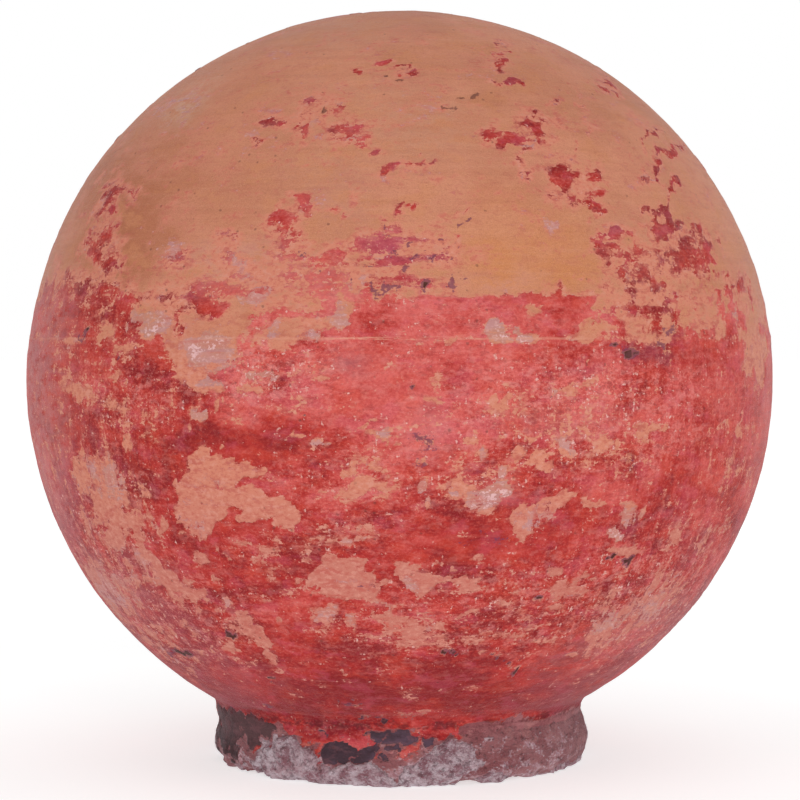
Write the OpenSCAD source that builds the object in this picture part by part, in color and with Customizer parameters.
// Hollow thrown terracotta ball on a short open collar, with the remains of its
// painted finish and of the mortar it was bedded in.
// Origin: centre of the collar's underside. +Z runs up the ball's axis, -Y is the front.

/* [Ball] */
// Diameter of the ball across its widest line
ball_d = 305; // [220:1:420]
// Height of the crown above the widest line, as a share of the radius
crown_ratio = 0.991; // [0.97:0.001:1.0]
// Depth of the belly below the widest line, as a share of the radius
belly_ratio = 0.982; // [0.965:0.001:1.0]
// Height of the ball's widest line above the ground, as a share of the radius
rise_ratio = 1.023; // [1.01:0.001:1.06]
// Thickness of the thrown wall
wall = 13; // [9:0.5:18]
// Extra thickness left in the wall at the crown, where the form was closed
crown_extra = 3; // [0:0.5:6]

/* [Seams] */
// Height of the luted seam above the ball's widest line
seam_h = 17.4; // [4:0.2:28]
// Thickness of the slip between two luted lips
slip_t = 1.6; // [0.8:0.1:3]
// Radius of the clay coil pressed over the seam inside
coil_r = 7; // [5:0.5:9]
// Radius of the coil smoothed into the corner between ball and collar
fillet_r = 4; // [2.5:0.5:6]

/* [Collar] */
// Diameter of the neck where the collar leaves the ball
neck_d = 148.6; // [130:0.2:156]
// Widest diameter of the flared collar
collar_d = 155; // [150:0.5:166]
// Height of the collar's widest line above the ground
flare_h = 8; // [6:0.5:12]
// Diameter of the socket through the collar
socket_d = 116; // [100:0.5:118]
// Rounding of the collar's lower outer edge
foot_round = 6; // [3:0.5:7]
// Depth of the breaks along the foot's lower edge
chip_depth = 5; // [3:0.5:6]

/* [Finish] */
// Thickness of the pale ground coat
ground_t = 0.25; // [0.2:0.05:0.5]
// Thickness of the red coat
red_t = 0.35; // [0.25:0.05:0.6]
// Height above the widest line where the unbroken red coat stops
paint_top = 32.4; // [28:0.2:60]
// Thickness of the old dark coat left on the collar
dark_t = 0.4; // [0.25:0.05:0.6]
// Thickness of the mortar left on the collar
mortar_t = 1.8; // [1:0.1:3]

/* [Hidden] */
$fn = 96;

ball_r = ball_d / 2;
crown = ball_r * crown_ratio;
belly = ball_r * belly_ratio;
centre_h = ball_r * rise_ratio;
neck_r = neck_d / 2;
collar_r = collar_d / 2;
socket_r = socket_d / 2;
step_deg = 3;  // longest step of latitude along the ball's outlines
overcut = 1;   // how far a cutter runs past a face it cuts through

// Colours of the fired clay, its joints and its coats
clay_color = [0.78, 0.50, 0.36];
joint_color = [0.70, 0.45, 0.34];
collar_color = [0.55, 0.40, 0.36];
ground_color = [0.80, 0.62, 0.56];
red_color = [0.74, 0.20, 0.18];
dark_color = [0.22, 0.19, 0.21];
mortar_color = [0.72, 0.66, 0.68];

// ---- Ball outlines. "lift" is the distance outside the ball's skin. ----

// Half-height of the lifted skin above (side >= 0) or below the widest line
function reach(side, lift) = (side >= 0 ? crown : belly) + lift;
// Latitude at which the lifted skin stands at height z over the widest line
function lat_at(z, lift = 0) = asin(z / reach(z, lift));
// Height, over the widest line, of the lower skin at a radius
function lower_skin_z(radius, lift = 0) =
    -reach(-1, lift) * sqrt(1 - pow(radius / (ball_r + lift), 2));
// Even latitudes between two limits
function lats(from, to) =
    let (count = max(1, ceil(abs(to - from) / step_deg)))
    [for (i = [0:count]) from + (to - from) * i / count];
// [radius, height] points along the lifted skin
function skin_arc(from, to, lift = 0) =
    [for (lat = lats(from, to))
        [(ball_r + lift) * cos(lat), centre_h + reach(lat, lift) * sin(lat)]];
// [radius, height] point of the inner wall, thickened towards the crown
function bore_point(lat) =
    let (extra = lat > 0 ? crown_extra * pow(sin(lat), 4) : 0)
    [(ball_r - wall - extra) * cos(lat),
     centre_h + (reach(lat, -wall) - extra) * sin(lat)];
function bore_arc(from, to) = [for (lat = lats(from, to)) bore_point(lat)];

// ---- Joints ----

neck_z = centre_h + lower_skin_z(neck_r);  // flat face that the collar is luted under
collar_top = neck_z - slip_t;
mouth_r = socket_r + 4;                    // hole through the bowl over the collar
mouth_lat = -acos(mouth_r / (ball_r - wall));
collar_slip_bore_r = mouth_r - 1;

seam_top = seam_h + slip_t / 2;            // both over the widest line
seam_bottom = seam_h - slip_t / 2;
seam_z = centre_h + seam_h;
squeeze = 0.6;                             // how far the seam's slip stands proud inside
seam_bore_r = (ball_r - wall) * cos(lat_at(seam_h, -wall)) - squeeze;

// Inner walls of the bowls, each ending at the seam
upper_bore = bore_arc(90, lat_at(seam_top, -wall));
lower_bore = bore_arc(mouth_lat, lat_at(seam_bottom, -wall));

// ---- Placing ----

// Turns about +Z so that 0 faces the front (-Y) and positive angles go to the right (+X)
module facing(angle) {
    rotate([0, 0, angle - 90]) children();
}

// Flat ring of slip, with its underside at height z
module slip_ring(z, outer_r, inner_r) {
    translate([0, 0, z]) difference() {
        cylinder(r = outer_r, h = slip_t);
        translate([0, 0, -overcut]) cylinder(r = inner_r, h = slip_t + 2 * overcut);
    }
}

// ---- Ball ----

// Upper thrown bowl, closed at the crown
module upper_bowl() {
    color(clay_color) rotate_extrude() polygon(concat(
        skin_arc(lat_at(seam_top), 90),
        upper_bore));
}

// Lower thrown bowl, cut flat for the collar and open over the socket
module lower_bowl() {
    color(clay_color) rotate_extrude() polygon(concat(
        skin_arc(lat_at(seam_bottom), lat_at(lower_skin_z(neck_r))),
        [[mouth_r, neck_z]],
        lower_bore));
}

// Slip between the two bowls, flush with the skin outside
module seam_slip() {
    color(joint_color)
        slip_ring(seam_z - slip_t / 2, ball_r * cos(lat_at(seam_h)), seam_bore_r);
}

// Coil pressed over the seam inside: the points of each inner wall nearest the seam
// make its back, and its face swells inwards over the slip
module seam_coil() {
    back_steps = 3;
    face_steps = 12;
    upper_end = len(upper_bore) - 1;
    lower_end = len(lower_bore) - 1;
    top = upper_bore[upper_end - back_steps];
    foot = lower_bore[lower_end - back_steps];
    color(joint_color) rotate_extrude() polygon(concat(
        [for (i = [back_steps:-1:0]) lower_bore[lower_end - i]],
        [[seam_bore_r, seam_z - slip_t / 2], [seam_bore_r, seam_z + slip_t / 2]],
        [for (i = [0:back_steps]) upper_bore[upper_end - i]],
        [for (i = [1:face_steps - 1])
            let (share = i / face_steps)
            [top[0] + (foot[0] - top[0]) * share - coil_r * sqrt(1 - pow(2 * share - 1, 2)),
             top[1] + (foot[1] - top[1]) * share]]));
}

// ---- Collar ----

// Radius of the collar's outer face at height z
function collar_face(z) =
    z >= flare_h
        ? let (rise = min(1, (z - flare_h) / (collar_top - flare_h)))
          neck_r + (collar_r - neck_r) * (0.5 + 0.5 * cos(180 * rise))
        : collar_r - foot_round * (1 - sqrt(max(0, 1 - pow((flare_h - z) / flare_h, 2))));

// Points up the outer face: 0 at the foot, face_n at the widest line, 2 * face_n at the top
face_n = 10;
function face_point(i) =
    let (z = i <= face_n
        ? flare_h * (1 - cos(90 * i / face_n))
        : flare_h + (collar_top - flare_h) * (i - face_n) / face_n)
    [collar_face(z), z];

// Breaks along the foot's lower edge:
// [facing angle, scoop radius, share of chip_depth, height of scoop's centre]
breaks = [
    [-88, 26, 1.0, -6], [-62, 12, 0.75, -7], [-44, 9, 0.6, -6],
    [-24, 6, 0.45, -4], [38, 7, 0.4, -5], [96, 13, 0.5, -8],
    [141, 16, 0.8, -9], [182, 8, 0.6, -5], [226, 12, 0.7, -7]];

// Flared collar with a straight round socket, before its foot is broken
module collar_blank() {
    rotate_extrude() polygon(concat(
        [[socket_r, 0]],
        [for (i = [0:2 * face_n]) face_point(i)],
        [[socket_r, collar_top]]));
}

module collar() {
    color(collar_color) difference() {
        collar_blank();
        for (chip = breaks)
            facing(chip[0])
                translate([collar_r + chip[1] - chip_depth * chip[2], 0, chip[3]])
                    sphere(r = chip[1]);
    }
}

// Slip between the collar and the lower bowl
module collar_slip() {
    color(joint_color) slip_ring(collar_top, neck_r, collar_slip_bore_r);
}

// Coil smoothed into the outer corner between ball and collar: a curve from the
// collar's face to the ball's skin, backed into the clay and then trimmed to it
module collar_fillet() {
    steps = 8;
    low_z = neck_z - fillet_r * 1.3;
    back_r = neck_r - 3;
    top_r = neck_r + fillet_r;
    low = [collar_face(low_z), low_z];
    bend = [neck_r + 0.2, neck_z - 0.4];
    top = [top_r, centre_h + lower_skin_z(top_r)];
    color(joint_color) difference() {
        rotate_extrude() polygon([
            for (i = [0:steps])
                let (share = i / steps)
                pow(1 - share, 2) * low + 2 * share * (1 - share) * bend + share * share * top,
            [back_r, neck_z + 6],
            [back_r, low_z]]);
        lower_bowl();
        collar_blank();
        // Room for the slip
        translate([0, 0, collar_top - overcut]) cylinder(r = neck_r, h = slip_t + 2 * overcut);
        // Core, clearing what is left inside the neck
        translate([0, 0, neck_z - 12]) cylinder(r = neck_r - 1, h = 30);
    }
}

// Coil wiped round the inside of the neck, on the ledge over the collar
module neck_coil() {
    coil_h = bore_point(mouth_lat)[1] - collar_top;
    color(joint_color) translate([0, 0, collar_top]) rotate_extrude() polygon([
        [socket_r + 0.4, 0],
        [collar_slip_bore_r, 0],
        [collar_slip_bore_r, slip_t],
        [mouth_r, slip_t],
        [mouth_r, coil_h],
        [socket_r + 2.2, coil_h - 0.8],
        [socket_r + 0.8, coil_h * 0.55]]);
}

// ---- Coats on the ball ----

plug_reach = 6;       // how far a plug runs to each side of the skin
coat_gap = 1.5;       // from the fillet's outer edge to the coats' lower edge
ground_margin = 1.5;  // how far the ground coat shows past the red one
fleck_gap = 1;        // from the unbroken coat up to the lowest flecks
fleck_top = crown * 0.97;

// Bare places worn through the coats: [longitude, latitude, radius]
bare = [
    [-35, -12, 11], [-31, -19, 12], [-19, -18, 6], [-7, -32, 10], [3, -32, 9], [14, -33, 8],
    [24, -21, 10], [41, -32, 9], [51, -30, 8], [-59, -24, 10], [-48, -36, 9], [31, 10, 7],
    [16, 8, 6], [-60, 8, 10], [-42, 11, 9], [104, -8, 14], [128, 5, 11], [150, -24, 12],
    [171, 10, 13], [-160, -16, 13], [-131, -2, 12], [-104, -27, 11], [-98, 12, 10],
    [78, 12, 10]];
// Flecks left above the unbroken coat: [longitude, latitude, radius]
flecks = [
    [-4, 58, 4], [-15, 47, 5], [-13, 33, 4], [-17, 24, 6], [3, 23, 8], [20, 47, 5],
    [30, 36, 6], [42, 26, 8], [58, 25, 8], [-44, 20, 6], [112, 40, 5], [140, 28, 8],
    [-170, 26, 8], [-118, 24, 7]];

// Round plug through the skin at a spot of one of the tables, with its radius grown
module plug(spot, grow) {
    translate([0, 0, centre_h]) facing(spot[0]) rotate([0, 90 - spot[1], 0])
        translate([0, 0, ball_r - plug_reach])
            cylinder(r = spot[2] + grow, h = 2 * plug_reach);
}

// Zone of the skin between two heights over the widest line and two lifts
module skin_zone(low, high, inner, outer) {
    rotate_extrude() polygon(concat(
        skin_arc(lat_at(low, outer), lat_at(high, outer), outer),
        skin_arc(lat_at(high, inner), lat_at(low, inner), inner)));
}

// One coat of paint: a broken zone of the skin, with flecks above it
module coat(inner, outer, margin) {
    bottom = lower_skin_z(neck_r + fillet_r + coat_gap, inner);
    top = paint_top + margin;
    difference() {
        skin_zone(bottom, top, inner, outer);
        for (spot = bare) plug(spot, -margin);
    }
    intersection() {
        skin_zone(top + fleck_gap, fleck_top, inner, outer);
        union() for (spot = flecks) plug(spot, margin);
    }
}

module ground_coat() {
    color(ground_color) coat(inner = 0, outer = ground_t, margin = ground_margin);
}

module red_coat() {
    color(red_color) coat(inner = ground_t, outer = ground_t + red_t, margin = 0);
}

// ---- Remains on the collar ----

// Old dark coat: [from angle, to angle, lower face point, upper face point]
dark_spots = [
    [-74, -46, 13, 17], [-26, -8, 10, 15], [-6, 12, 14, 17],
    [104, 122, 11, 16], [176, 205, 12, 16], [246, 258, 11, 15]];
// Mortar along the foot: the same columns, then the share of mortar_t
mortar_spots = [
    [-43, -29, 6, 13, 0.9], [-20, 14, 5, 9, 0.7], [16, 31, 5, 13, 1.0],
    [33, 44, 5, 9, 0.6], [62, 84, 5, 10, 0.8], [124, 134, 6, 12, 0.9],
    [158, 175, 5, 10, 0.7], [208, 222, 5, 10, 1.0], [236, 244, 5, 12, 0.8]];

// Patch lying on the collar's face, half as thick at its upper and lower edges
module collar_patch(spot, thickness) {
    low = spot[2];
    high = spot[3];
    facing(spot[0]) rotate_extrude(angle = spot[1] - spot[0]) polygon(concat(
        [for (i = [low:high])
            face_point(i) + [(i == low || i == high ? 0.5 : 1) * thickness, 0]],
        [for (i = [high:-1:low]) face_point(i)]));
}

module dark_coat() {
    color(dark_color) for (spot = dark_spots) collar_patch(spot, dark_t);
}

module mortar_crust() {
    color(mortar_color) for (spot = mortar_spots) collar_patch(spot, mortar_t * spot[4]);
}

upper_bowl();
lower_bowl();
seam_slip();
seam_coil();
collar();
collar_slip();
collar_fillet();
neck_coil();
ground_coat();
red_coat();
dark_coat();
mortar_crust();
